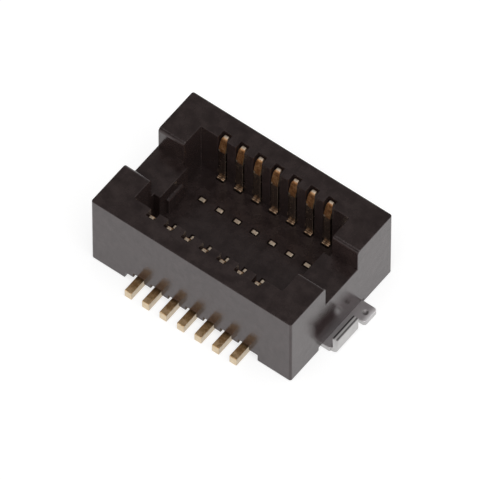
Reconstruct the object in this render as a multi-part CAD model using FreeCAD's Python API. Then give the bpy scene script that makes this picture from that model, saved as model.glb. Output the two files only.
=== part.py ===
import FreeCAD, Part
import math
import os

# Surface-mount header of a board-to-board connector, in millimetres.
# The circuit board is the plane z = 0, the mating side looks up (+Z) and the rows run along X.
# The origin is the centre of the footprint, on the board.

# Contact layout
contacts_per_row = 7
contact_pitch = 0.50
end_margin = 1.35

# Housing
housing_width = 3.83
housing_height = 2.23
housing_standoff = 0.03
long_wall = 0.665
end_wall = 0.74
floor_thickness = 0.69
outer_corner_radius = 0.06
cavity_corner_radius = 0.05

# Notch in the middle of each end wall, open at the rim
notch_width = 1.20
notch_depth = 0.67
notch_mouth_radius = 0.11

# Pad that thickens each end wall below its notch, with a rib on its face
pad_width = 1.06
pad_reach = 0.175
rib_width = 0.58
rib_reach = 0.08
rib_height = 0.52
rib_lead = 0.05

# Feet at the ends of the underside
foot_length = 0.95

# Pocket in the edge of the long wall above each tail
pocket_side_gap = 0.05
pocket_rise = 0.15
pocket_depth = 0.22

# Contact, blanked from strip: its thickness lies along the row
contact_thickness = 0.20
tail_reach = 0.40
tail_height = 0.24
tail_corner_radius = 0.025
beam_depth = 0.21
beam_proud = 0.02
tip_drop = 0.07
tip_land = 0.09
tip_front_radius = 0.08
tip_back_radius = 0.015
tip_taper = 0.02
tip_taper_length = 0.12
nose_drop = 0.44
nose_radius = 0.05
step_reach = 0.08
step_rise = 0.06
step_radius = 0.03
post_offset = 1.365
post_depth = 0.12
post_lead = 0.01
post_lead_length = 0.05
post_barb_reach = 0.02
post_barb_length = 0.10
post_barb_rise = 0.10

# Room round a contact
slot_side_gap = 0.045
slot_back_gap = 0.03
seat_side_gap = 0.02
seat_end_gap = 0.02

# Hold-down, folded from sheet
sheet_thickness = 0.15
bend_radius = 0.04
tab_far_side = 0.80
tab_near_side = 0.715
tab_reach = 0.43
outer_leg_width = 0.475
leg_notch_width = 0.205
lip_reach = 0.40
lip_height = 0.55
lip_shoulder = 0.04
tab_corner_radius = 0.08
sheet_edge_radius = 0.02
dimple_diameter = 0.13
dimple_depth = 0.025
dimple_setback = 0.17
anchor_width = 0.90
anchor_setback = 0.30
anchor_cover = 0.35
anchor_taper = 0.08
anchor_barb_reach = 0.04
anchor_barb_length = 0.16
anchor_barb_rise = 0.45
anchor_gap = 0.02
tab_side_gap = 0.05

# Length by which a cutting shape runs past the face that it opens
overrun = 0.30

# Points of an outline nearer to each other than this are one point
join_distance = 1e-6

# Levels and places that follow from the sizes above
housing_length = (contacts_per_row - 1) * contact_pitch + 2 * end_margin
half_length = housing_length / 2
half_width = housing_width / 2
rim_level = housing_standoff + housing_height
floor_level = housing_standoff + floor_thickness
notch_level = rim_level - notch_depth
beam_front = long_wall + beam_proud
beam_back = beam_front - beam_depth
slot_back = beam_back - slot_back_gap
step_front = beam_front + step_reach
step_level = floor_level + step_rise
post_end = post_offset + post_depth
anchor_level = notch_level - anchor_cover
contact_places = [(i - (contacts_per_row - 1) / 2) * contact_pitch for i in range(contacts_per_row)]


def row_plane(inward, height):
    """Point of a front-row profile: distance in from the long wall's outer face, and height."""
    return FreeCAD.Vector(0, inward - half_width, height)


def end_plane(outward, height):
    """Point of a right-hand profile: distance out from the end face, and height."""
    return FreeCAD.Vector(half_length + outward, 0, height)


def front_plane(along, height):
    """Point of a profile that is seen from the front."""
    return FreeCAD.Vector(along, 0, height)


def cross_plane(across, height):
    """Point of a profile that is seen along the rows."""
    return FreeCAD.Vector(0, across, height)


def plan(along, across):
    """Point of an outline that is seen from above."""
    return FreeCAD.Vector(along, across, 0)


def rounded_wire(corners, plane):
    """Closed wire through (a, b, radius) corners, each radius turned into a tangent arc."""
    points = [plane(a, b) for a, b, radius in corners]
    stops = []
    for i, (a, b, radius) in enumerate(corners):
        corner = points[i]
        if radius <= 0:
            stops.append((corner, None, corner))
            continue
        back = (points[i - 1] - corner).normalize()
        ahead = (points[(i + 1) % len(points)] - corner).normalize()
        half_angle = back.getAngle(ahead) / 2
        middle = (back + ahead).normalize()
        run = radius / math.tan(half_angle)
        centre = corner + middle * (radius / math.sin(half_angle))
        stops.append((corner + back * run, centre - middle * radius, corner + ahead * run))
    edges = []
    for i, (entry, crown, leave) in enumerate(stops):
        if crown is not None:
            edges.append(Part.Arc(entry, crown, leave).toShape())
        next_entry = stops[(i + 1) % len(stops)][0]
        if (next_entry - leave).Length > join_distance:
            edges.append(Part.LineSegment(leave, next_entry).toShape())
    return Part.Wire(edges)


def prism(corners, plane, low, high):
    """Solid of a rounded outline, pushed along the outline's normal from low to high."""
    normal = {plan: FreeCAD.Vector(0, 0, 1), end_plane: FreeCAD.Vector(0, 1, 0),
              front_plane: FreeCAD.Vector(0, 1, 0)}
    direction = normal.get(plane, FreeCAD.Vector(1, 0, 0))
    face = Part.Face(rounded_wire(corners, plane))
    face.translate(direction * low)
    return face.extrude(direction * (high - low))


def block(x_low, x_high, y_low, y_high, z_low, z_high):
    """Box between two limits along each axis."""
    corner = FreeCAD.Vector(x_low, y_low, z_low)
    return Part.makeBox(x_high - x_low, y_high - y_low, z_high - z_low, corner)


def rectangle(half_a, half_b, radius):
    """Corners of a centred rectangle with one radius all round."""
    return [(-half_a, -half_b, radius), (half_a, -half_b, radius),
            (half_a, half_b, radius), (-half_a, half_b, radius)]


def turned(shape):
    """The same piece turned half round about the vertical through the origin."""
    copy = shape.copy()
    copy.rotate(FreeCAD.Vector(0, 0, 0), FreeCAD.Vector(0, 0, 1), 180)
    return copy


def both_ways(shape):
    """A cut on the front or right side, and its twin on the other side."""
    return [shape, turned(shape)]


def cavity():
    """Open well of the shroud, narrowed at each end by the pad."""
    end = half_length - end_wall
    pad_end = end - pad_reach
    side = half_width - long_wall
    pad_side = pad_width / 2
    quarter = [(end, side, cavity_corner_radius), (end, pad_side, 0), (pad_end, pad_side, 0)]
    right = quarter + [(x, -y, r) for x, y, r in reversed(quarter)]
    left = [(-x, -y, r) for x, y, r in right]
    return prism(right + left, plan, floor_level, rim_level + overrun)


def end_notches():
    """The notch through both end walls, with a rounded mouth at the rim."""
    side = notch_width / 2
    mouth = side + notch_mouth_radius
    top = rim_level + overrun
    half = [(mouth, top, 0), (mouth, rim_level, 0), (side, rim_level, notch_mouth_radius),
            (side, notch_level, 0)]
    outline = half + [(-y, z, r) for y, z, r in reversed(half)]
    length = half_length + overrun
    return prism(outline, cross_plane, -length, length)


def pad_rib():
    """Low rib on the inner face of the right-hand pad, with a sloped top for the mating half."""
    face = -end_wall - pad_reach
    front = face - rib_reach
    top = floor_level + rib_height
    outline = [(face, floor_level, 0), (front, floor_level, 0), (front, top - rib_lead, 0),
               (front + rib_lead, top, 0), (face, top, 0)]
    return prism(outline, end_plane, -rib_width / 2, rib_width / 2)


def wall_slot(x):
    """Slot in the front wall that a contact's beam stands in, open to the well and the rim."""
    half = contact_thickness / 2 + slot_side_gap
    y_low = slot_back - half_width
    y_high = long_wall + overrun - half_width
    return block(x - half, x + half, y_low, y_high, floor_level, rim_level + overrun)


def seat_cuts(x):
    """Holes up through the floor that grip a contact's beam and its post."""
    half = contact_thickness / 2 + seat_side_gap
    beam_hole = block(x - half, x + half, slot_back - half_width,
                      step_front + seat_end_gap - half_width, 0, floor_level)
    post_hole = block(x - half, x + half, post_offset - post_barb_reach - half_width,
                      post_end + post_barb_reach - half_width, 0, floor_level)
    return [beam_hole, post_hole]


def tail_relief():
    """Recess along the front of the underside for the base bars, open where the tails leave."""
    x_end = half_length - foot_length
    y_end = post_end + seat_end_gap - half_width
    return block(-x_end, x_end, -half_width - overrun, y_end, housing_standoff - overrun, tail_height)


def tail_pocket(x):
    """Clearance above and beside one tail, open to the wall's outer face."""
    half = contact_thickness / 2 + pocket_side_gap
    return block(x - half, x + half, -half_width - overrun, pocket_depth - half_width,
                 housing_standoff - overrun, tail_height + pocket_rise)


def hold_down_cuts():
    """Recess for the right-hand tab and the blind slot for its anchor."""
    inner = anchor_setback + sheet_thickness + anchor_gap
    side = tab_far_side + tab_side_gap
    recess = block(half_length - inner, half_length + overrun, -side, side,
                   housing_standoff - overrun, sheet_thickness)
    slot_face = anchor_gap - anchor_setback
    mouth = slot_face + bend_radius
    top = anchor_level + anchor_gap
    outline = [(-inner, 0, 0), (-inner, top, 0), (slot_face, top, 0),
               (slot_face, sheet_thickness + bend_radius, 0),
               (mouth, sheet_thickness, 0), (mouth, 0, 0)]
    slot_side = anchor_width / 2 + anchor_barb_reach
    return [recess, prism(outline, end_plane, -slot_side, slot_side)]


def make_housing():
    """The moulded shroud with everything that is let into it."""
    outline = rectangle(half_length, half_width, outer_corner_radius)
    body = prism(outline, plan, housing_standoff, rim_level)
    body = body.cut(cavity())
    body = body.fuse(both_ways(pad_rib()))
    cuts = [end_notches()]
    cuts += both_ways(tail_relief())
    for cut in hold_down_cuts():
        cuts += both_ways(cut)
    for x in contact_places:
        for cut in [wall_slot(x), tail_pocket(x)] + seat_cuts(x):
            cuts += both_ways(cut)
    return body.cut(cuts).removeSplitter()


def side_tapers(top, taper, length, y_low, y_high):
    """Wedges that narrow both sides of a contact towards a top face."""
    half = contact_thickness / 2
    outline = [(half - taper, top, 0), (half, top - length, 0), (half + overrun, top - length, 0),
               (half + overrun, top, 0)]
    mirrored = [(-x, z, r) for x, z, r in outline]
    return [prism(side, front_plane, y_low, y_high) for side in (outline, mirrored)]


def make_contact():
    """Front-row contact at x = 0: tail, base bar, post and beam blanked as one piece."""
    barb_low = tail_height + post_barb_rise
    barb_high = barb_low + post_barb_length
    tip_level = rim_level - tip_drop
    outline = [
        (-tail_reach, 0, tail_corner_radius),
        (post_end, 0, tail_corner_radius),
        (post_end, barb_low, 0),
        (post_end + post_barb_reach, barb_low, 0),
        (post_end, barb_high, 0),
        (post_end, floor_level - post_lead_length, 0),
        (post_end - post_lead, floor_level, 0),
        (post_offset + post_lead, floor_level, 0),
        (post_offset, floor_level - post_lead_length, 0),
        (post_offset, barb_high, 0),
        (post_offset - post_barb_reach, barb_low, 0),
        (post_offset, barb_low, 0),
        (post_offset, tail_height, 0),
        (step_front, tail_height, 0),
        (step_front, step_level, step_radius),
        (beam_front, step_level, step_radius / 2),
        (beam_front, rim_level - nose_drop, nose_radius),
        (beam_back + tip_land, tip_level, tip_front_radius),
        (beam_back, tip_level, tip_back_radius),
        (beam_back, tail_height, 0),
        (-tail_reach, tail_height, tail_corner_radius),
    ]
    half = contact_thickness / 2
    blank = prism(outline, row_plane, -half, half)
    beam_limit = step_front - half_width
    tapers = side_tapers(tip_level, tip_taper, tip_taper_length, -half_width, beam_limit)
    tapers += side_tapers(floor_level, post_lead, post_lead_length, beam_limit, 0)
    return blank.cut(tapers)


def tab_plate():
    """Flat part of the right-hand tab, with its outer leg and the dimple in it."""
    inner = half_length - anchor_setback + bend_radius
    lip_root = half_length + lip_reach - sheet_thickness - bend_radius
    leg_end = half_length + tab_reach
    leg_near = tab_far_side - outer_leg_width
    outline = [(inner, -tab_near_side, 0), (lip_root, -tab_near_side, lip_shoulder),
               (lip_root, leg_near, 0), (leg_end, leg_near, tab_corner_radius),
               (leg_end, tab_far_side, tab_corner_radius), (inner, tab_far_side, 0)]
    plate = prism(outline, plan, 0, sheet_thickness)
    ball_radius = ((dimple_diameter / 2) ** 2 + dimple_depth ** 2) / (2 * dimple_depth)
    centre = FreeCAD.Vector(leg_end - dimple_setback, tab_far_side - outer_leg_width / 2,
                            sheet_thickness - dimple_depth + ball_radius)
    return plate.cut(Part.makeSphere(ball_radius, centre))


def tab_lip():
    """Lip folded up from the near side of the right-hand tab."""
    root = lip_reach - sheet_thickness - bend_radius
    inner_face = lip_reach - sheet_thickness
    outline = [(root, 0, 0), (lip_reach, 0, bend_radius + sheet_thickness),
               (lip_reach, lip_height, sheet_edge_radius),
               (inner_face, lip_height, sheet_edge_radius),
               (inner_face, sheet_thickness, bend_radius), (root, sheet_thickness, 0)]
    near = lip_shoulder - tab_near_side
    far = tab_far_side - outer_leg_width - leg_notch_width
    return prism(outline, end_plane, near, far)


def tab_anchor():
    """Barbed leg folded up from the right-hand tab into the end wall."""
    root = bend_radius - anchor_setback
    back_face = -anchor_setback - sheet_thickness
    fold = [(root, 0, 0), (root, sheet_thickness, 0),
            (-anchor_setback, sheet_thickness, bend_radius),
            (-anchor_setback, anchor_level, sheet_edge_radius),
            (back_face, anchor_level, sheet_edge_radius),
            (back_face, 0, bend_radius + sheet_thickness)]
    side = anchor_width / 2
    barb_side = side + anchor_barb_reach
    barb_low = sheet_thickness + anchor_barb_rise
    barb_high = barb_low + anchor_barb_length
    half = [(side, 0, 0), (side, barb_low, 0), (barb_side, barb_low, 0), (side, barb_high, 0),
            (side, anchor_level - anchor_taper, 0), (side - anchor_taper, anchor_level, 0)]
    blank = half + [(-y, z, r) for y, z, r in reversed(half)]
    folded = prism(fold, end_plane, -barb_side, barb_side)
    return folded.common(prism(blank, cross_plane, 0, half_length))


def make_hold_down():
    """Right-hand hold-down: tab, lip and anchor from one sheet."""
    return tab_plate().fuse([tab_lip(), tab_anchor()]).removeSplitter()


def moved(shape, x):
    """Copy of a piece, shifted along the row."""
    copy = shape.copy()
    copy.translate(FreeCAD.Vector(x, 0, 0))
    return copy


def all_pieces():
    """Every separate piece under its name."""
    front = make_contact()
    rear = turned(front)
    right = make_hold_down()
    pieces = {"housing": make_housing(), "hold_down_right": right, "hold_down_left": turned(right)}
    for number, x in enumerate(contact_places, start=1):
        pieces["contact_front_" + str(number)] = moved(front, x)
        pieces["contact_rear_" + str(number)] = moved(rear, x)
    return pieces


os.makedirs("parts", exist_ok=True)
for name, piece in all_pieces().items():
    piece.exportStep("parts/" + name + ".step")
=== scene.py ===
import math

import bmesh
import bpy
from mathutils import Matrix, Vector


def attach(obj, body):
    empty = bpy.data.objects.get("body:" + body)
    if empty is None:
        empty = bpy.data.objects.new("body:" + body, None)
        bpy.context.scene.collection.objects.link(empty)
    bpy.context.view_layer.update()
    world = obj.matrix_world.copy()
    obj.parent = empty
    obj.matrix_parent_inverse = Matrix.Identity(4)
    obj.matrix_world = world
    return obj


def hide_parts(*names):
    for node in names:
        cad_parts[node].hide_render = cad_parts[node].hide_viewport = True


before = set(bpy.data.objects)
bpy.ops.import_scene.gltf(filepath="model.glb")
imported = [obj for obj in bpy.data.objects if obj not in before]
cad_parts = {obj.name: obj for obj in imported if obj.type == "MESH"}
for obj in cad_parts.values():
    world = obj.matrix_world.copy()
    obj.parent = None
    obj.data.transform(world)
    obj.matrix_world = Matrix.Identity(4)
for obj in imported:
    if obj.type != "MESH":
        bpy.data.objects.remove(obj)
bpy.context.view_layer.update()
scene = bpy.context.scene

# Shapes are drawn in millimetres, with the circuit board at z = 0, and scaled to metres when whole.
MM = 0.001

# Contact layout
contacts_per_row = 7
contact_pitch = 0.50
contact_places = [(i - (contacts_per_row - 1) / 2) * contact_pitch
                  for i in range(contacts_per_row)]

# Housing
half_length = 2.85
half_width = 1.915
base_level = 0.03
rim_level = 2.26
floor_level = 0.72
long_wall = 0.665
end_wall = 0.74
outer_corner_radius = 0.06
cavity_corner_radius = 0.02
notch_width = 1.20
notch_level = 1.59
notch_mouth_radius = 0.11
pad_width = 1.06
pad_reach = 0.175
rib_width = 0.58
rib_reach = 0.08
rib_height = 0.52
rib_lead = 0.05
rib_root = 0.05
foot_length = 0.95
pocket_side_gap = 0.05
pocket_rise = 0.15
pocket_depth = 0.22

# Contact
contact_thickness = 0.20
tail_reach = 0.40
tail_height = 0.24
tail_corner_radius = 0.025
beam_front = 0.685
beam_back = 0.475
tip_level = 2.19
tip_land = 0.09
tip_front_radius = 0.08
tip_back_radius = 0.015
tip_taper = 0.045
tip_taper_length = 0.12
tip_taper_power = 1.5
tip_taper_steps = 5
nose_drop = 0.44
nose_radius = 0.05
step_front = 0.765
step_level = 0.78
step_radius = 0.03
post_offset = 1.365
post_end = 1.485
post_lead = 0.014
post_side_lead = 0.028
post_lead_length = 0.05
barb_reach = 0.02
barb_low = 0.34
barb_high = 0.44

# Room round a contact
slot_side_gap = 0.025
slot_back = 0.445
seat_side_gap = 0.012
seat_end_gap = 0.02

# Hold-down
sheet = 0.15
bend_radius = 0.04
tab_far_side = 0.80
tab_near_side = 0.715
tab_reach = 0.43
outer_leg_width = 0.475
leg_notch_width = 0.205
lip_reach = 0.40
lip_height = 0.55
lip_shoulder = 0.04
tab_corner_radius = 0.08
sheet_edge_radius = 0.02
dimple_radius = 0.065
dimple_depth = 0.025
dimple_setback = 0.17
dimple_segments = 40
anchor_width = 0.90
anchor_setback = 0.30
anchor_level = 1.24
anchor_taper = 0.08
anchor_barb_reach = 0.04
anchor_barb_length = 0.16
anchor_barb_rise = 0.45
anchor_gap = 0.02
tab_side_gap = 0.05

# Length by which a cutting shape runs past the face that it opens, and into a cut beside it
overrun = 0.30
cut_overlap = 0.10

# Length by which shapes that are joined or cut along one face run into each other
join_overlap = 0.001

# Widths of the worn or moulded edges
rim_edge = 0.024
slot_edge = 0.012
contact_edge = 0.014
sheet_edge = 0.016

# Limits that tell the housing's edges apart: the slack of each limit, the depth of its outer
# skin, the reach and least height of its upright corners, the height of the small forms
# underneath, and half the length of a row of slots
edge_margin = 0.01
skin = 0.03
corner_zone = 0.10
corner_height = 0.30
low_zone = 0.40
slot_zone = 1.70

# Height above the lip from which the hold-down's edges are the anchor's
lip_clearance = 0.05

# Fineness of arcs, and the limits within which points are one, faces are flat and edges are soft
ARC_STEP = math.radians(9)
SAME_POINT = 1e-5
FLAT_ANGLE = math.radians(0.5)
SHARP_ANGLE = math.radians(28)
EDGE_SEGMENTS = 3

# Half the side of the floor, in metres, and the level that the lamps are aimed at
floor_size = 1.5
aim_level = 1.0

# Values between which noise mostly lies, and those that the moulding's two noises are drawn between
noise_span = (0.3, 0.7)
cloud_span = (0.32, 0.68)
mottle_span = (0.36, 0.64)

# Depth from the housing's outer faces over which its outer finish fades in, along x and y
outer_fade_x = (0.07, 0.01)
outer_fade_y = (0.065, 0.01)


def rounded(corners):
    """Points of a closed outline through (a, b, radius) corners, each radius a tangent arc."""
    points = []
    for i, (a, b, radius) in enumerate(corners):
        corner = Vector((a, b))
        if radius <= 0:
            points.append(corner)
            continue
        back = (Vector(corners[i - 1][:2]) - corner).normalized()
        ahead = (Vector(corners[(i + 1) % len(corners)][:2]) - corner).normalized()
        half = back.angle(ahead) / 2
        centre = corner + (back + ahead).normalized() * (radius / math.sin(half))
        start = corner + back * (radius / math.tan(half)) - centre
        end = corner + ahead * (radius / math.tan(half)) - centre
        sweep = math.copysign(math.pi - 2 * half, start.x * end.y - start.y * end.x)
        steps = max(3, round(abs(sweep) / ARC_STEP))
        for k in range(steps + 1):
            points.append(centre + Matrix.Rotation(sweep * k / steps, 2) @ start)
    return [point for i, point in enumerate(points) if (point - points[i - 1]).length > SAME_POINT]


def along_row(a, b, level):
    """Place of a profile seen along the rows: a inward from the front wall's face, b up."""
    return Vector((level, a - half_width, b))


def across_end(a, b, level):
    """Place of a profile at the right end: a outward from the end face, b up."""
    return Vector((half_length + a, level, b))


def along_length(a, b, level):
    """Place of a profile seen from the end: a across, b up."""
    return Vector((level, a, b))


def from_above(a, b, level):
    """Place of an outline seen from above."""
    return Vector((a, b, level))


def add_prism(bm, outline, place, low, high):
    """Closed prism of an outline, from one level to another."""
    rings = [[bm.verts.new(place(a, b, level)) for a, b in outline] for level in (low, high)]
    count = len(outline)
    faces = [bm.faces.new(rings[0]), bm.faces.new(rings[1][::-1])]
    for i in range(count):
        j = (i + 1) % count
        faces.append(bm.faces.new((rings[0][j], rings[0][i], rings[1][i], rings[1][j])))
    bmesh.ops.recalc_face_normals(bm, faces=faces)
    return faces


def add_block(bm, x_low, x_high, y_low, y_high, z_low, z_high):
    """Box between two limits along each axis."""
    outline = [(x_low, y_low), (x_high, y_low), (x_high, y_high), (x_low, y_high)]
    add_prism(bm, outline, from_above, z_low, z_high)


def as_object(bm, name):
    """Scene object of a finished shape."""
    mesh = bpy.data.meshes.new(name)
    bm.to_mesh(mesh)
    bm.free()
    piece = bpy.data.objects.new(name, mesh)
    scene.collection.objects.link(piece)
    return piece


def turn_copy(bm):
    """Adds the twin of everything in the shape, turned half round about the vertical."""
    twin = bmesh.ops.duplicate(bm, geom=bm.verts[:] + bm.edges[:] + bm.faces[:])["geom"]
    verts = [v for v in twin if isinstance(v, bmesh.types.BMVert)]
    bmesh.ops.rotate(bm, verts=verts, cent=(0, 0, 0), matrix=Matrix.Rotation(math.pi, 3, "Z"))


def bake_modifiers(piece):
    """Turns the piece's modifiers into its own mesh."""
    graph = bpy.context.evaluated_depsgraph_get()
    graph.update()
    mesh = bpy.data.meshes.new_from_object(piece.evaluated_get(graph))
    piece.modifiers.clear()
    old = piece.data
    piece.data = mesh
    bpy.data.meshes.remove(old)
    mesh.name = piece.name


def combine(body, tools, operation):
    """Cuts the tools from the body, or joins them to it, one after another."""
    for tool in tools:
        step = body.modifiers.new(tool.name, "BOOLEAN")
        step.operation = operation
        step.solver = "EXACT"
        step.object = tool
    bake_modifiers(body)
    for tool in tools:
        bpy.data.meshes.remove(tool.data)


def merge_flats(bm):
    """One face for each flat side."""
    bmesh.ops.remove_doubles(bm, verts=bm.verts[:], dist=SAME_POINT)
    bmesh.ops.dissolve_limit(bm, angle_limit=FLAT_ANGLE, verts=bm.verts[:], edges=bm.edges[:])


def weigh_edges(bm, choose):
    """Gives every outward corner the edge width that choose says, as a share of the widest."""
    layer = bm.edges.layers.float.get("bevel_weight_edge")
    layer = layer or bm.edges.layers.float.new("bevel_weight_edge")
    for edge in bm.edges:
        outward = len(edge.link_faces) == 2 and edge.calc_face_angle_signed(0) > SHARP_ANGLE
        edge[layer] = choose(edge) if outward else 0.0


def weigh_piece(piece, choose):
    """Merges a piece's flat sides and weighs its edges."""
    bm = bmesh.new()
    bm.from_mesh(piece.data)
    merge_flats(bm)
    weigh_edges(bm, choose)
    bm.to_mesh(piece.data)
    bm.free()


def finish_edges(piece, width):
    """Rounds the weighted edges and gives the flat sides flat shading up to them."""
    bevel = piece.modifiers.new("edges", "BEVEL")
    bevel.limit_method = "WEIGHT"
    bevel.width = width
    bevel.segments = EDGE_SEGMENTS
    bevel.use_clamp_overlap = False
    bevel.miter_outer = "MITER_ARC"
    bake_modifiers(piece)
    mesh = piece.data
    mesh.polygons.foreach_set("use_smooth", [True] * len(mesh.polygons))
    mesh.set_sharp_from_angle(angle=SHARP_ANGLE)
    normals = piece.modifiers.new("normals", "WEIGHTED_NORMAL")
    normals.keep_sharp = True
    normals.weight = 100
    bake_modifiers(piece)


def cavity_outline():
    """The well of the shroud, narrowed at each end by the pad."""
    end = half_length - end_wall
    pad_end = end - pad_reach
    side = half_width - long_wall
    quarter = [(end, side, cavity_corner_radius), (end, pad_width / 2, 0),
               (pad_end, pad_width / 2, 0)]
    right = quarter + [(x, -y, r) for x, y, r in reversed(quarter)]
    return rounded(right + [(-x, -y, r) for x, y, r in right])


def notch_outline():
    """The notch through both end walls, with a rounded mouth at the rim."""
    side = notch_width / 2
    mouth = side + notch_mouth_radius
    top = rim_level + overrun
    half = [(mouth, top, 0), (mouth, rim_level, 0), (side, rim_level, notch_mouth_radius),
            (side, notch_level, 0)]
    return rounded(half + [(-y, z, r) for y, z, r in reversed(half)])


def solid(name, draw, both=True):
    """Scene object of a shape; with both, it has its twin on the other side as well."""
    bm = bmesh.new()
    draw(bm)
    if both:
        turn_copy(bm)
    return as_object(bm, name)


def draw_slots(bm):
    """Slots in the inner face of the long wall, one for each beam."""
    half = contact_thickness / 2 + slot_side_gap
    for x in contact_places:
        add_block(bm, x - half, x + half, slot_back - half_width,
                  long_wall + cut_overlap - half_width, floor_level, rim_level + overrun)


def draw_pockets(bm):
    """Pockets in the lower edge of the long wall, one above each tail."""
    half = contact_thickness / 2 + pocket_side_gap
    for x in contact_places:
        add_block(bm, x - half, x + half, -half_width - overrun, pocket_depth - half_width,
                  base_level - overrun, tail_height + pocket_rise)


def draw_beam_holes(bm):
    """Holes in the floor through which the beams come up."""
    half = contact_thickness / 2 + seat_side_gap
    for x in contact_places:
        add_block(bm, x - half, x + half, slot_back - half_width,
                  step_front + seat_end_gap - half_width,
                  tail_height - cut_overlap, floor_level + cut_overlap)


def draw_post_holes(bm):
    """Holes in the floor for the posts that hold the contacts."""
    half = contact_thickness / 2 + seat_side_gap
    for x in contact_places:
        add_block(bm, x - half, x + half, post_offset - barb_reach - half_width,
                  post_end + barb_reach - half_width,
                  tail_height - cut_overlap, floor_level + cut_overlap)


def draw_relief(bm):
    """Recess along the underside for the base bars, open where the tails leave."""
    x_end = half_length - foot_length
    add_block(bm, -x_end, x_end, -half_width - overrun, post_end + seat_end_gap - half_width,
              base_level - overrun, tail_height)


def draw_recess(bm):
    """Recess under the end wall for the hold-down's tab."""
    inner = anchor_setback + sheet + anchor_gap
    side = tab_far_side + tab_side_gap
    add_block(bm, half_length - inner, half_length + overrun, -side, side,
              base_level - overrun, sheet)


def draw_anchor_slot(bm):
    """Blind slot in the end wall for the hold-down's anchor."""
    inner = anchor_setback + sheet + anchor_gap
    face = anchor_gap - anchor_setback
    top = anchor_level + anchor_gap
    outline = [(-inner, 0), (-inner, top), (face, top), (face, sheet + bend_radius),
               (face + bend_radius, sheet), (face + bend_radius, 0)]
    side = anchor_width / 2 + anchor_barb_reach
    add_prism(bm, outline, across_end, -side, side)


def draw_rib(bm):
    """Low rib on the pad's face, with a sloped top for the mating half."""
    face = -end_wall - pad_reach
    front = face - rib_reach
    base = floor_level - rib_root
    top = floor_level + rib_height
    outline = [(face + rib_root, base), (front, base), (front, top - rib_lead),
               (front + rib_lead, top), (face + rib_root, top)]
    add_prism(bm, outline, across_end, -rib_width / 2, rib_width / 2)


def housing_edge(edge):
    """Share of the widest edge radius that a housing edge gets."""
    ends = [v.co for v in edge.verts]
    low = min(p.z for p in ends)
    high = max(p.z for p in ends)
    middle = (ends[0] + ends[1]) / 2
    inside = half_width - abs(middle.y)
    from_end = half_length - abs(middle.x)
    if high < floor_level + edge_margin and inside > skin and from_end > skin:
        return 0.0
    in_slot = (slot_back - edge_margin < inside < long_wall + edge_margin
               and abs(middle.x) < slot_zone and low > floor_level - edge_margin)
    if in_slot or high < low_zone:
        return slot_edge / rim_edge
    if high - low > corner_height and inside < corner_zone and from_end < corner_zone:
        return 0.0
    return 1.0


def draw_block(bm):
    """Outside of the housing."""
    corners = ((-1, -1), (1, -1), (1, 1), (-1, 1))
    outline = rounded([(half_length * along, half_width * across, outer_corner_radius)
                       for along, across in corners])
    add_prism(bm, outline, from_above, base_level, rim_level)


def draw_cavity(bm):
    """Well of the shroud."""
    add_prism(bm, cavity_outline(), from_above, floor_level, rim_level + overrun)


def draw_notch(bm):
    """Notch through both end walls."""
    reach = half_length + overrun
    add_prism(bm, notch_outline(), along_length, -reach, reach)


def make_housing():
    """Moulded housing, cut from its block."""
    body = solid("housing_moulding", draw_block, both=False)
    combine(body, [solid("cavity", draw_cavity, both=False)], "DIFFERENCE")
    combine(body, [solid("rib", draw_rib)], "UNION")
    cuts = [solid("notch", draw_notch, both=False)]
    for name, draw in (("relief", draw_relief), ("pocket", draw_pockets), ("slot", draw_slots),
                       ("beam_hole", draw_beam_holes), ("post_hole", draw_post_holes),
                       ("recess", draw_recess), ("anchor_slot", draw_anchor_slot)):
        cuts.append(solid(name, draw))
    combine(body, cuts, "DIFFERENCE")
    weigh_piece(body, housing_edge)
    finish_edges(body, rim_edge)
    return body


def contact_outline():
    """Side view of a front-row contact."""
    return rounded([
        (-tail_reach, 0, tail_corner_radius),
        (post_end, 0, tail_corner_radius),
        (post_end, barb_low, 0),
        (post_end + barb_reach, barb_low, 0),
        (post_end, barb_high, 0),
        (post_end, floor_level - post_lead_length, 0),
        (post_end - post_lead, floor_level, 0),
        (post_offset + post_lead, floor_level, 0),
        (post_offset, floor_level - post_lead_length, 0),
        (post_offset, barb_high, 0),
        (post_offset - barb_reach, barb_low, 0),
        (post_offset, barb_low, 0),
        (post_offset, tail_height, 0),
        (step_front, tail_height, 0),
        (step_front, step_level, step_radius),
        (beam_front, step_level, step_radius / 2),
        (beam_front, rim_level - nose_drop, nose_radius),
        (beam_back + tip_land, tip_level, tip_front_radius),
        (beam_back, tip_level, tip_back_radius),
        (beam_back, tail_height, 0),
        (-tail_reach, tail_height, tail_corner_radius),
    ])


def contact_edge_share(edge):
    """1 for an edge that goes round a side of the blank, and 0 for one across its thickness."""
    first, second = (vert.co.x for vert in edge.verts)
    across = contact_thickness / 4
    return 1.0 if abs(first) > across and abs(first - second) < across else 0.0


def make_contact():
    """Front-row contact: the blank, with its tip and the end of its post drawn in at the sides."""
    bm = bmesh.new()
    half = contact_thickness / 2
    add_prism(bm, contact_outline(), along_row, -half, half)
    tip_start = tip_level - tip_taper_length
    post_start = floor_level - post_lead_length
    tip_levels = [tip_start + tip_taper_length * k / tip_taper_steps
                  for k in range(tip_taper_steps)]
    for level in [post_start] + tip_levels:
        bmesh.ops.bisect_plane(bm, geom=bm.verts[:] + bm.edges[:] + bm.faces[:],
                               plane_co=(0, 0, level), plane_no=(0, 0, 1))
    for vert in bm.verts:
        if vert.co.z > tip_start:
            rise = (vert.co.z - tip_start) / tip_taper_length
            vert.co.x *= 1 - tip_taper / half * rise ** tip_taper_power
        elif vert.co.z > post_start and vert.co.y > step_front + seat_end_gap - half_width:
            rise = (vert.co.z - post_start) / post_lead_length
            vert.co.x *= 1 - post_side_lead / half * rise
    bm.normal_update()
    weigh_edges(bm, contact_edge_share)
    contact = as_object(bm, "contact_blank")
    finish_edges(contact, contact_edge)
    return contact


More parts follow.
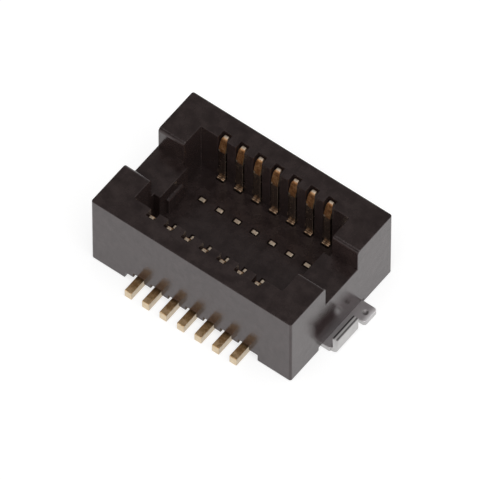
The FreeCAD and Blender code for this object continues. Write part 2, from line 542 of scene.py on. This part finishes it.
def draw_tab(bm):
    """Tab of the hold-down: a plate under the end wall, with an outer leg to solder."""
    inner = half_length - anchor_setback + bend_radius
    lip_root = half_length + lip_reach - sheet - bend_radius
    leg_end = half_length + tab_reach
    leg_near = tab_far_side - outer_leg_width
    plate = rounded([(inner, -tab_near_side, 0), (lip_root, -tab_near_side, lip_shoulder),
                     (lip_root, leg_near, 0), (leg_end, leg_near, tab_corner_radius),
                     (leg_end, tab_far_side, tab_corner_radius), (inner, tab_far_side, 0)])
    add_prism(bm, plate, from_above, 0, sheet)


def draw_lip(bm):
    """Lip turned up from the tab."""
    root = lip_reach - sheet - bend_radius - join_overlap
    inner_face = lip_reach - sheet
    lip = rounded([(root, 0, 0), (lip_reach, 0, bend_radius + sheet),
                   (lip_reach, lip_height, sheet_edge_radius),
                   (inner_face, lip_height, sheet_edge_radius),
                   (inner_face, sheet, bend_radius), (root, sheet, 0)])
    add_prism(bm, lip, across_end, lip_shoulder - tab_near_side,
              tab_far_side - outer_leg_width - leg_notch_width)


def draw_anchor(bm):
    """Anchor folded up from the tab's inner end, before its sides are cut to shape."""
    root = bend_radius - anchor_setback + join_overlap
    back = -anchor_setback - sheet
    fold = rounded([(root, 0, 0), (root, sheet, 0), (-anchor_setback, sheet, bend_radius),
                    (-anchor_setback, anchor_level, sheet_edge_radius),
                    (back, anchor_level, sheet_edge_radius), (back, 0, bend_radius + sheet)])
    barb_side = anchor_width / 2 + anchor_barb_reach
    add_prism(bm, fold, across_end, -barb_side, barb_side)


def draw_anchor_blank(bm):
    """Outline that the anchor is cut to: barbs at its sides and tapered corners at its top."""
    side = anchor_width / 2
    barb_low_level = sheet + anchor_barb_rise
    half = [(side, -cut_overlap), (side, barb_low_level),
            (side + anchor_barb_reach, barb_low_level),
            (side, barb_low_level + anchor_barb_length), (side, anchor_level - anchor_taper),
            (side - anchor_taper, anchor_level + join_overlap)]
    blank = half + [(-y, z) for y, z in reversed(half)]
    add_prism(bm, blank, along_length, 0, half_length)


def draw_dimple(bm):
    """Ball that presses the dimple into the tab's outer leg."""
    ball = (dimple_radius ** 2 + dimple_depth ** 2) / (2 * dimple_depth)
    centre = Vector((half_length + tab_reach - dimple_setback,
                     tab_far_side - outer_leg_width / 2, sheet - dimple_depth + ball))
    bmesh.ops.create_uvsphere(bm, u_segments=dimple_segments, v_segments=dimple_segments,
                              radius=ball, matrix=Matrix.Translation(centre))


def hold_down_edge_share(edge):
    """1 for an edge of the tab or the lip, and 0 for one up on the anchor."""
    return 0.0 if max(vert.co.z for vert in edge.verts) > lip_height + lip_clearance else 1.0


def make_hold_down():
    """Right-hand hold-down: tab, lip and anchor from one sheet."""
    body = solid("hold_down_sheet", draw_tab, both=False)
    lip = solid("lip", draw_lip, both=False)
    anchor = solid("anchor", draw_anchor, both=False)
    combine(anchor, [solid("blank", draw_anchor_blank, both=False)], "INTERSECT")
    combine(body, [lip, anchor], "UNION")
    combine(body, [solid("dimple", draw_dimple, both=False)], "DIFFERENCE")
    weigh_piece(body, hold_down_edge_share)
    finish_edges(body, sheet_edge)
    return body


def set_material(piece, material):
    """Gives a piece one material."""
    piece.data.materials.clear()
    piece.data.materials.append(material)


def place(source, name, turn, shift, material, slot):
    """Copy of a finished shape, turned, shifted and scaled to metres, that stands for a node."""
    piece = source.copy()
    piece.data = source.data.copy()
    piece.name = name + "_dressed"
    piece.data.name = piece.name
    moved = Matrix.Translation((shift, 0, 0)) @ Matrix.Rotation(turn, 4, "Z")
    piece.data.transform(Matrix.Scale(MM, 4) @ moved)
    scene.collection.objects.link(piece)
    set_material(piece, material)
    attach(piece, "root")
    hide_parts(name)
    return piece


def new_material(name):
    """Material with one Principled shader."""
    material = bpy.data.materials.new(name)
    material.use_nodes = True
    nodes = material.node_tree.nodes
    nodes.clear()
    output = nodes.new("ShaderNodeOutputMaterial")
    shader = nodes.new("ShaderNodeBsdfPrincipled")
    material.node_tree.links.new(shader.outputs[0], output.inputs[0])
    return material, material.node_tree, shader


def node(tree, kind, **settings):
    """New shader node with its settings."""
    made = tree.nodes.new(kind)
    for key, value in settings.items():
        setattr(made, key, value)
    return made


def split(tree, source):
    """X, Y and Z of a vector."""
    made = node(tree, "ShaderNodeSeparateXYZ")
    tree.links.new(source, made.inputs[0])
    return made.outputs


def place_on_part(tree):
    """Place on the part, in metres. Every piece has its origin at the frame's."""
    return node(tree, "ShaderNodeTexCoord").outputs["Object"]


def facing(tree):
    """X, Y and Z of the direction that the surface faces."""
    return split(tree, node(tree, "ShaderNodeNewGeometry").outputs["Normal"])


def noise(tree, coordinates, scale, detail=4.0, roughness=0.55, stretch=(1, 1, 1)):
    """Noise in object space, with its size set per millimetre."""
    mapping = node(tree, "ShaderNodeMapping")
    mapping.inputs["Scale"].default_value = [s * scale / MM for s in stretch]
    tree.links.new(coordinates, mapping.inputs["Vector"])
    texture = node(tree, "ShaderNodeTexNoise")
    texture.inputs["Scale"].default_value = 1.0
    texture.inputs["Detail"].default_value = detail
    texture.inputs["Roughness"].default_value = roughness
    tree.links.new(mapping.outputs[0], texture.inputs["Vector"])
    return texture.outputs["Fac"]


def ramp(tree, source, stops):
    """Colour ramp through (position, colour) stops."""
    made = node(tree, "ShaderNodeValToRGB")
    band = made.color_ramp
    while len(band.elements) < len(stops):
        band.elements.new(0.5)
    for element, (position, colour) in zip(band.elements, stops):
        element.position = position
        element.color = (*colour, 1)
    tree.links.new(source, made.inputs[0])
    return made.outputs[0]


def shade(tree, source, dark, light, span=noise_span):
    """Colour that goes from dark to light with a noise."""
    return ramp(tree, source, list(zip(span, (dark, light))))


def remap(tree, source, low, high):
    """Noise turned into a value between two limits."""
    made = node(tree, "ShaderNodeMapRange")
    made.inputs["From Min"].default_value = noise_span[0]
    made.inputs["From Max"].default_value = noise_span[1]
    made.inputs["To Min"].default_value = low
    made.inputs["To Max"].default_value = high
    tree.links.new(source, made.inputs["Value"])
    return made.outputs[0]


def bump(tree, source, height, strength, after=None):
    """Bump from a noise, with its height in millimetres."""
    made = node(tree, "ShaderNodeBump")
    made.inputs["Strength"].default_value = strength
    made.inputs["Distance"].default_value = height * MM
    tree.links.new(source, made.inputs["Height"])
    if after is not None:
        tree.links.new(after, made.inputs["Normal"])
    return made.outputs[0]


def mix_value(tree, factor, low, high):
    """Value that goes from low to high with a factor; each may be a number or a socket."""
    made = node(tree, "ShaderNodeMix")
    tree.links.new(factor, made.inputs[0])
    for slot, value in ((2, low), (3, high)):
        if isinstance(value, bpy.types.NodeSocket):
            tree.links.new(value, made.inputs[slot])
        else:
            made.inputs[slot].default_value = value
    return made.outputs[0]


def mix_colour(tree, factor, low, high):
    """Colour that goes from low to high with a factor."""
    made = node(tree, "ShaderNodeMix", data_type="RGBA")
    tree.links.new(factor, made.inputs[0])
    tree.links.new(low, made.inputs[6])
    tree.links.new(high, made.inputs[7])
    return made.outputs[2]


def step_up(tree, source, low, high):
    """0 below one limit and 1 above the other, with a smooth step between them."""
    made = node(tree, "ShaderNodeMapRange", interpolation_type="SMOOTHSTEP")
    made.inputs["From Min"].default_value = low
    made.inputs["From Max"].default_value = high
    tree.links.new(source, made.inputs["Value"])
    return made.outputs[0]


def level_step(tree, source, low, high):
    """Step between two limits in millimetres."""
    return step_up(tree, source, low * MM, high * MM)


def math_node(tree, operation, first, second=None):
    """One sum on one or two values."""
    made = node(tree, "ShaderNodeMath", operation=operation)
    tree.links.new(first, made.inputs[0])
    if second is not None:
        tree.links.new(second, made.inputs[1])
    return made.outputs[0]


def both_of(tree, first, second):
    """Mask that is 1 only where both masks are."""
    return math_node(tree, "MULTIPLY", first, second)


def unsigned(tree, source):
    """Value without its sign."""
    return math_node(tree, "ABSOLUTE", source)


def plastic_material():
    """Black moulded polymer: nearly glossy, with faint flow clouding and a fine grain.

    The outer walls are mottled. The other sideways faces are plainer, and painted lighter than the
    tops: painted light in the shaded well.
    """
    material, tree, shader = new_material("black_moulding")
    place_in = place_on_part(tree)
    part = split(tree, place_in)
    level = step_up(tree, facing(tree)["Z"], 0.3, 0.8)
    outside = math_node(tree, "MAXIMUM",
                        level_step(tree, unsigned(tree, part["X"]),
                                   *(half_length - depth for depth in outer_fade_x)),
                        level_step(tree, unsigned(tree, part["Y"]),
                                   *(half_width - depth for depth in outer_fade_y)))
    outer_wall = math_node(tree, "SUBTRACT", outside, level)

    cloud = noise(tree, place_in, 3.2, detail=6, roughness=0.62)
    grain = noise(tree, place_in, 22.0, detail=5, roughness=0.65)
    flow = noise(tree, place_in, 3.0, detail=3, stretch=(1, 1, 0.35))
    mottle = noise(tree, place_in, 9.0, detail=6, roughness=0.75, stretch=(1, 1, 0.4))

    top_colour = shade(tree, cloud, (0.0120, 0.0070, 0.0065), (0.0310, 0.0210, 0.0195), cloud_span)
    # Painted light: sideways faces away from the outer walls, in the well and its slots, are
    # lighter than the tops.
    well_painted_light_colour = shade(tree, cloud, (0.0290, 0.0185, 0.0170), (0.0450, 0.0295, 0.0270), cloud_span)
    wall_colour = shade(tree, mottle, (0.0250, 0.0160, 0.0160), (0.0410, 0.0265, 0.0265),
                        mottle_span)
    inner_colour = mix_colour(tree, level, well_painted_light_colour, top_colour)
    tree.links.new(mix_colour(tree, outer_wall, inner_colour, wall_colour),
                   shader.inputs["Base Color"])

    inner_tint = shade(tree, cloud, (0.90, 0.80, 0.805), (1.00, 0.91, 0.915), cloud_span)
    wall_tint = shade(tree, mottle, (0.79, 0.71, 0.715), (0.98, 0.885, 0.895), mottle_span)
    tree.links.new(mix_colour(tree, outer_wall, inner_tint, wall_tint),
                   shader.inputs["Specular Tint"])

    tree.links.new(mix_value(tree, level, remap(tree, flow, 0.11, 0.17),
                             remap(tree, flow, 0.18, 0.26)), shader.inputs["Roughness"])
    fine = bump(tree, grain, 0.004, 0.45)
    tree.links.new(bump(tree, cloud, 0.02, 0.25, fine), shader.inputs["Normal"])
    shader.inputs["IOR"].default_value = 1.58
    return material


def gold_material():
    """Gold plate: smooth on the rolled sides, with painted shade on the beams' sheared edges, the
    feet and the tails by the wall, and painted highlights on the tips, posts and noses.
    """
    material, tree, shader = new_material("gold_plate")
    place_in = place_on_part(tree)
    part = split(tree, place_in)
    across = unsigned(tree, part["Y"])
    side_of_contact = node(tree, "ShaderNodeMath", operation="WRAP")
    tree.links.new(part["X"], side_of_contact.inputs[0])
    side_of_contact.inputs[1].default_value = contact_pitch / 2 * MM
    side_of_contact.inputs[2].default_value = -contact_pitch / 2 * MM
    off_middle = side_of_contact.outputs[0]

    # Masks: what is above the base bars, the coined nose and tip, and the posts
    upper = level_step(tree, part["Z"], 0.25, 0.60)
    coined = level_step(tree, part["Z"], 1.74, 1.77)
    post = math_node(tree, "SUBTRACT", upper, level_step(tree, across, 0.70, 0.80))
    turned_to = facing(tree)
    squarely = (0.55, 0.9)
    rolled = step_up(tree, unsigned(tree, turned_to["X"]), *squarely)
    end = step_up(tree, unsigned(tree, turned_to["Y"]), *squarely)
    level = step_up(tree, turned_to["Z"], 0.45, 0.8)
    crown = step_up(tree, turned_to["Z"], 0.70, 0.95)
    # Painted shadow: the top of each foot is dark near the middle of its contact, where the beam
    # shades it.
    off_foot_painted_shadow = level_step(tree, unsigned(tree, off_middle), 0.01, 0.05)
    # Painted highlight: a pale spot on the -x side of each contact, low on the slope where the nose
    # bends.
    off_kink_painted_highlight = math_node(tree, "MAXIMUM", level_step(tree, off_middle, -0.075, -0.035),
                         level_step(tree, part["Z"], 1.80, 1.84))

    cloud = noise(tree, place_in, 9.0, detail=4, roughness=0.6)
    shear = noise(tree, place_in, 26.0, detail=4, stretch=(0.3, 1, 0.5))
    fleck = remap(tree, noise(tree, place_in, 45.0, detail=3), -0.16, 0.16)
    # Painted shade: the tails' tops are darker by the wall and lighter toward their outer ends.
    outward = remap(tree, level_step(tree, across, 1.95, 2.30), -0.10, 0.12)
    flecked = math_node(tree, "ADD", cloud, fleck)

    tail_top = ramp(tree, math_node(tree, "ADD", flecked, outward),
                    [(0.32, (0.48, 0.27, 0.12)), (0.5, (0.68, 0.44, 0.22)),
                     (0.68, (0.90, 0.63, 0.36))])
    tail_end = shade(tree, cloud, (0.62, 0.50, 0.34), (0.73, 0.61, 0.45))
    # Painted shade: the beams' sheared edges, down in the well, are darker than the tails' ends.
    beam_edge_painted_shade = shade(tree, cloud, (0.33, 0.26, 0.20), (0.46, 0.37, 0.29))
    slope = ramp(tree, flecked, [(0.34, (0.40, 0.17, 0.07)), (0.5, (0.60, 0.29, 0.12)),
                                 (0.66, (0.82, 0.48, 0.24))])
    # Colour of the painted highlight at each nose's bend.
    kink_painted_highlight = shade(tree, cloud, (0.88, 0.76, 0.60), (0.96, 0.86, 0.72))
    foot_side = shade(tree, cloud, (0.50, 0.34, 0.22), (0.62, 0.44, 0.31))
    # Painted shadow for the middle of each foot's top.
    foot_painted_shadow = shade(tree, cloud, (0.20, 0.12, 0.07), (0.28, 0.18, 0.12))
    rolled_side = shade(tree, cloud, (0.52, 0.43, 0.31), (0.62, 0.53, 0.41))
    tip_painted_highlight = shade(tree, cloud, (0.50, 0.405, 0.31), (0.60, 0.50, 0.39))
    painted_post_highlight = shade(tree, cloud, (0.84, 0.68, 0.51), (0.92, 0.78, 0.63))

    foot = mix_colour(tree, off_foot_painted_shadow, foot_painted_shadow, foot_side)
    slope_with_painted_highlight = mix_colour(tree, off_kink_painted_highlight, kink_painted_highlight, slope)
    tail = mix_colour(tree, end, tail_top, tail_end)
    beam = mix_colour(tree, coined, mix_colour(tree, level, beam_edge_painted_shade, foot), slope_with_painted_highlight)
    blank = mix_colour(tree, rolled, mix_colour(tree, upper, tail, beam), rolled_side)
    # Painted highlight: upward faces of each tip are paler than the gold round them.
    tipped = mix_colour(tree, both_of(tree, crown, coined), blank, tip_painted_highlight)
    # Painted highlight: the tops of the posts, down in their holes in the floor, are pale.
    on_post_top = both_of(tree, level, post)
    tree.links.new(mix_colour(tree, on_post_top, tipped, painted_post_highlight), shader.inputs["Base Color"])

    rough = mix_value(tree, upper, remap(tree, shear, 0.34, 0.50), remap(tree, cloud, 0.20, 0.28))
    rough = mix_value(tree, coined, rough, remap(tree, shear, 0.42, 0.52))
    rough = mix_value(tree, on_post_top, rough, remap(tree, cloud, 0.38, 0.46))
    tree.links.new(rough, shader.inputs["Roughness"])
    tree.links.new(bump(tree, shear, 0.003, 0.4), shader.inputs["Normal"])
    shader.inputs["Metallic"].default_value = 1.0
    return material


def distance_from_dimple(tree, place_in, along):
    """Distance from the middle of the dimple, seen from above, at either end of the part."""
    end_sign = math_node(tree, "SIGN", along)
    right_end = node(tree, "ShaderNodeVectorMath", operation="SCALE")
    tree.links.new(place_in, right_end.inputs[0])
    tree.links.new(end_sign, right_end.inputs["Scale"])
    flat = node(tree, "ShaderNodeVectorMath", operation="MULTIPLY")
    tree.links.new(right_end.outputs[0], flat.inputs[0])
    flat.inputs[1].default_value = (1, 1, 0)
    away = node(tree, "ShaderNodeVectorMath", operation="DISTANCE")
    tree.links.new(flat.outputs[0], away.inputs[0])
    away.inputs[1].default_value = ((half_length + tab_reach - dimple_setback) * MM,
                                    (tab_far_side - outer_leg_width / 2) * MM, 0)
    return away.outputs["Value"]


def lip_top_painted_light(tree, reach):
    """Painted highlight between two bands of painted shade, across the thickness of the lip."""
    across_lip = node(tree, "ShaderNodeMapRange")
    across_lip.inputs["From Min"].default_value = (half_length + lip_reach - sheet) * MM
    across_lip.inputs["From Max"].default_value = (half_length + lip_reach) * MM
    tree.links.new(reach, across_lip.inputs["Value"])
    shadow = (0.10, 0.09, 0.09)
    shine = (0.95, 0.93, 0.92)
    return ramp(tree, across_lip.outputs[0],
                [(0.10, shadow), (0.24, shadow), (0.36, shine), (0.58, shine),
                 (0.74, (0.16, 0.15, 0.15)), (0.90, (0.30, 0.29, 0.29))])


def tin_material():
    """Matt tin plate over folded sheet, faintly cloudy, with painted highlights at the end of the
    leg and across the lip's top, and painted shade in the dimple.
    """
    material, tree, shader = new_material("matt_tin")
    place_in = place_on_part(tree)
    part = split(tree, place_in)
    reach = unsigned(tree, part["X"])
    leg_end = half_length + tab_reach
    level = step_up(tree, facing(tree)["Z"], 0.2, 0.7)
    # Painted highlight: upward faces near the outer end of the leg are near white.
    leg_end_painted_highlight_zone = both_of(tree, level, level_step(tree, reach, leg_end - 0.15, leg_end + 0.02))
    # Painted highlight and painted shade across the top of the lip.
    lip_top = both_of(tree, level, level_step(tree, part["Z"], lip_height - 0.06,
                                              lip_height - 0.03))
    # Painted shade: the dimple and a ring round it are dark.
    clear = level_step(tree, distance_from_dimple(tree, place_in, part["X"]),
                       0.8 * dimple_radius, 1.6 * dimple_radius)

    cloud = noise(tree, place_in, 3.0, detail=3)
    grain = noise(tree, place_in, 40.0, detail=5, roughness=0.6)
    leg_end_painted_highlight = shade(tree, cloud, (0.92, 0.89, 0.90), (0.98, 0.96, 0.97))
    # All sideways faces, the lip's and the anchor's as well as the sheared edges, are darker than
    # upward ones.
    sideways_tone = shade(tree, cloud, (0.455, 0.445, 0.440), (0.535, 0.525, 0.520))
    rolled = shade(tree, cloud, (0.65, 0.61, 0.62), (0.75, 0.71, 0.72))
    dimple_painted_shade = shade(tree, cloud, (0.25, 0.235, 0.235), (0.33, 0.31, 0.31))

    plate = mix_colour(tree, leg_end_painted_highlight_zone, mix_colour(tree, level, sideways_tone, rolled), leg_end_painted_highlight)
    folded = mix_colour(tree, lip_top, plate, lip_top_painted_light(tree, reach))
    tree.links.new(mix_colour(tree, clear, dimple_painted_shade, folded), shader.inputs["Base Color"])
    dull = mix_value(tree, leg_end_painted_highlight_zone, remap(tree, grain, 0.32, 0.44), 0.62)
    tree.links.new(mix_value(tree, clear, 0.6, dull), shader.inputs["Roughness"])
    tree.links.new(bump(tree, grain, 0.003, 0.4), shader.inputs["Normal"])
    shader.inputs["Metallic"].default_value = 1.0
    return material


def floor_material():
    """White to the camera and in reflections, and it takes the part's shadow."""
    material = bpy.data.materials.new("pale_floor")
    material.use_nodes = True
    tree = material.node_tree
    tree.nodes.clear()
    link = tree.links.new
    output = node(tree, "ShaderNodeOutputMaterial")
    plain = node(tree, "ShaderNodeBsdfDiffuse")
    plain.inputs["Color"].default_value = (0.80, 0.80, 0.80, 1)
    shaded = node(tree, "ShaderNodeBsdfDiffuse")
    shaded.inputs["Color"].default_value = (0.40, 0.40, 0.40, 1)
    glow = node(tree, "ShaderNodeEmission")
    glow.inputs["Strength"].default_value = 0.73
    seen = node(tree, "ShaderNodeAddShader")
    link(shaded.outputs[0], seen.inputs[0])
    link(glow.outputs[0], seen.inputs[1])
    path = node(tree, "ShaderNodeLightPath").outputs
    mirrored = math_node(tree, "MAXIMUM", path["Is Camera Ray"], path["Is Glossy Ray"])
    mix = node(tree, "ShaderNodeMixShader")
    link(math_node(tree, "MAXIMUM", mirrored, path["Is Transmission Ray"]), mix.inputs[0])
    link(plain.outputs[0], mix.inputs[1])
    link(seen.outputs[0], mix.inputs[2])
    link(mix.outputs[0], output.inputs[0])
    return material


def make_floor():
    """Floor that the part stands on."""
    bm = bmesh.new()
    bmesh.ops.create_grid(bm, x_segments=1, y_segments=1, size=floor_size)
    floor = as_object(bm, "floor")
    set_material(floor, floor_material())


def make_world():
    """Studio surround: white low down, and grey overhead."""
    world = bpy.data.worlds.new("studio")
    scene.world = world
    world.use_nodes = True
    tree = world.node_tree
    tree.nodes.clear()
    link = tree.links.new
    output = node(tree, "ShaderNodeOutputWorld")
    background = node(tree, "ShaderNodeBackground")
    height = split(tree, node(tree, "ShaderNodeTexCoord").outputs["Generated"])["Z"]
    colour = ramp(tree, height, [(0.0, (1.0, 1.0, 1.0)), (0.20, (0.92, 0.92, 0.92)),
                                 (0.58, (0.28, 0.275, 0.27)), (0.78, (0.13, 0.13, 0.13)),
                                 (1.0, (0.12, 0.12, 0.12))])
    link(colour, background.inputs["Color"])
    link(background.outputs[0], output.inputs[0])


def add_lamp(name, stand, size, strength):
    """Soft square lamp aimed at the part; strength is the brightness of its face."""
    data = bpy.data.lights.new(name, "AREA")
    data.size = size
    data.energy = strength * math.pi * size ** 2
    lamp = bpy.data.objects.new(name, data)
    lamp.location = stand
    aim = Vector((0, 0, aim_level * MM)) - lamp.location
    lamp.rotation_euler = aim.to_track_quat("-Z", "Y").to_euler()
    scene.collection.objects.link(lamp)


def make_camera():
    """Camera where the photograph was taken from: far off, with a very long lens.

    The point called middle shows at middle_pixel in a picture of frame_side pixels each way.
    """
    azimuth = math.radians(37.17)
    elevation = math.radians(55.43)
    distance = 303
    pixels_per_mm = 43.90
    frame_side = 480
    middle = Vector((0, 0, 1.1))
    middle_pixel = (241.6, 236.9)
    right = Vector((math.cos(azimuth), math.sin(azimuth), 0))
    toward = Vector((math.sin(azimuth) * math.cos(elevation),
                     -math.cos(azimuth) * math.cos(elevation), math.sin(elevation)))
    up = toward.cross(right)
    across = (frame_side / 2 - middle_pixel[0]) / pixels_per_mm
    rise = (middle_pixel[1] - frame_side / 2) / pixels_per_mm
    data = bpy.data.cameras.new("camera")
    data.sensor_width = 36
    data.lens = data.sensor_width * distance * pixels_per_mm / frame_side
    data.clip_start = 0.01
    data.clip_end = 5.0
    camera = bpy.data.objects.new("camera", data)
    camera.location = (middle + right * across + up * rise + toward * distance) * MM
    camera.rotation_euler = (-toward).to_track_quat("-Z", "Y").to_euler()
    scene.collection.objects.link(camera)
    scene.camera = camera


make_camera()
make_floor()
make_world()
add_lamp("overhead", (0.07, -0.06, 0.30), size=0.30, strength=2.25)
add_lamp("behind", (-0.125, 0.165, 0.30), size=0.16, strength=0.08)
scene.view_settings.view_transform = "Standard"

plastic = plastic_material()
gold = gold_material()
tin = tin_material()

housing = make_housing()
place(housing, "housing", 0, 0, plastic, "housing")
contact = make_contact()
for number, x in enumerate(contact_places, start=1):
    place(contact, "contact_front_" + str(number), 0, x, gold, "contact")
    place(contact, "contact_rear_" + str(number), math.pi, x, gold, "contact")
hold_down = make_hold_down()
place(hold_down, "hold_down_right", 0, 0, tin, "hold_down")
place(hold_down, "hold_down_left", math.pi, 0, tin, "hold_down")
for source in (housing, contact, hold_down):
    bpy.data.meshes.remove(source.data)
